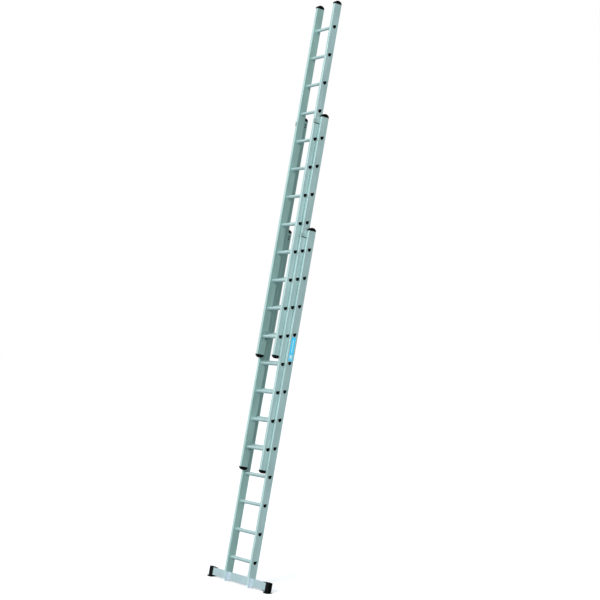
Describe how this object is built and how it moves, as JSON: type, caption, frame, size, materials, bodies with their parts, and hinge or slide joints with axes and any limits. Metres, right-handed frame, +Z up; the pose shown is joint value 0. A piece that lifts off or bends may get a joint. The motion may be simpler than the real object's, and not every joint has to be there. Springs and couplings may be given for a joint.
{
  "type": "extension ladder",
  "caption": "Tall aluminium ladder of nested sliding sections, drawn out and leaning, with hooks over the rungs, black end plugs and a wide stabiliser bar on rubber feet.",
  "frame": {"origin": "on the floor, midway between the two stabiliser feet, in the middle plane of the base section", "axes": "+Z up, +X to the climber's right along the rungs, +Y from the climber towards the wall; the stiles lean 78.7 degrees from the floor"},
  "size_m": [1.28, 1.095, 5.6938],
  "materials": {
    "stile_aluminium": "satin extruded",
    "rung_aluminium": "satin extruded, grooved tread",
    "bracket_aluminium": "satin pressed",
    "bracket_steel": "dark satin coat",
    "zinc_steel": "zinc plated",
    "rivet_steel": "dark plated",
    "black_plastic": "moulded, fine grain",
    "grey_plastic": "moulded, matt",
    "foot_rubber": "moulded, matt",
    "label_film": "printed film, satin"
  },
  "bodies": {
    "base_section": {"base_guide_left": "bracket_aluminium", "base_guide_right": "bracket_aluminium", "base_guide_rivets": "rivet_steel", "base_rung_plugs": "black_plastic", "base_rungs": "rung_aluminium", "base_stile_left": "stile_aluminium", "base_stile_right": "stile_aluminium", "base_top_cap_left": "black_plastic", "base_top_cap_right": "black_plastic", "foot_bolts": "zinc_steel", "foot_brackets_left": "bracket_aluminium", "foot_brackets_right": "bracket_aluminium", "foot_inserts": "grey_plastic", "foot_nuts": "zinc_steel", "foot_rivets": "rivet_steel", "label": "label_film", "stabiliser_bar": "stile_aluminium", "stabiliser_foot_left": "foot_rubber", "stabiliser_foot_right": "foot_rubber"},
    "middle_section": {"middle_bottom_cap_left": "black_plastic", "middle_bottom_cap_right": "black_plastic", "middle_guide_left": "bracket_aluminium", "middle_guide_right": "bracket_aluminium", "middle_guide_rivets": "rivet_steel", "middle_hook_left": "bracket_steel", "middle_hook_right": "bracket_steel", "middle_hook_rivets": "rivet_steel", "middle_latch_pins": "zinc_steel", "middle_latch_springs": "zinc_steel", "middle_rung_plugs": "black_plastic", "middle_rungs": "rung_aluminium", "middle_stile_left": "stile_aluminium", "middle_stile_right": "stile_aluminium", "middle_top_cap_left": "black_plastic", "middle_top_cap_right": "black_plastic"},
    "top_section": {"top_bottom_cap_left": "black_plastic", "top_bottom_cap_right": "black_plastic", "top_hook_left": "bracket_steel", "top_hook_right": "bracket_steel", "top_hook_rivets": "rivet_steel", "top_latch_pins": "zinc_steel", "top_latch_springs": "zinc_steel", "top_rung_plugs": "black_plastic", "top_rungs": "rung_aluminium", "top_stile_left": "stile_aluminium", "top_stile_right": "stile_aluminium", "top_top_cap_left": "black_plastic", "top_top_cap_right": "black_plastic"},
    "middle_latch_left": {"middle_latch_left": "bracket_steel"},
    "middle_latch_right": {"middle_latch_right": "bracket_steel"},
    "top_latch_left": {"top_latch_left": "bracket_steel"},
    "top_latch_right": {"top_latch_right": "bracket_steel"}
  },
  "joints": [
    {"name": "middle_slide", "type": "slide", "parent": "base_section", "child": "middle_section", "axis": [0, 0.1959, 0.9806], "range_m": [-1.12, 1.4]},
    {"name": "top_slide", "type": "slide", "parent": "middle_section", "child": "top_section", "axis": [0, 0.1959, 0.9806], "range_m": [-1.12, 1.4]},
    {"name": "middle_latch_left_swing", "type": "hinge", "parent": "middle_section", "child": "middle_latch_left", "pos_m": [-0.187, 0.2404, 1.3152], "axis": [-1, 0, 0], "range_deg": [0, 70], "stiffness_Nm_per_rad": 0.03, "springref_deg": -17.19},
    {"name": "middle_latch_right_swing", "type": "hinge", "parent": "middle_section", "child": "middle_latch_right", "pos_m": [0.187, 0.2404, 1.3152], "axis": [-1, 0, 0], "range_deg": [0, 70], "stiffness_Nm_per_rad": 0.03, "springref_deg": -17.19},
    {"name": "top_latch_left_swing", "type": "hinge", "parent": "top_section", "child": "top_latch_left", "pos_m": [-0.15, 0.40201, 2.40465], "axis": [-1, 0, 0], "range_deg": [0, 70], "stiffness_Nm_per_rad": 0.03, "springref_deg": -17.19},
    {"name": "top_latch_right_swing", "type": "hinge", "parent": "top_section", "child": "top_latch_right", "pos_m": [0.15, 0.40201, 2.40465], "axis": [-1, 0, 0], "range_deg": [0, 70], "stiffness_Nm_per_rad": 0.03, "springref_deg": -17.19}
  ]
}
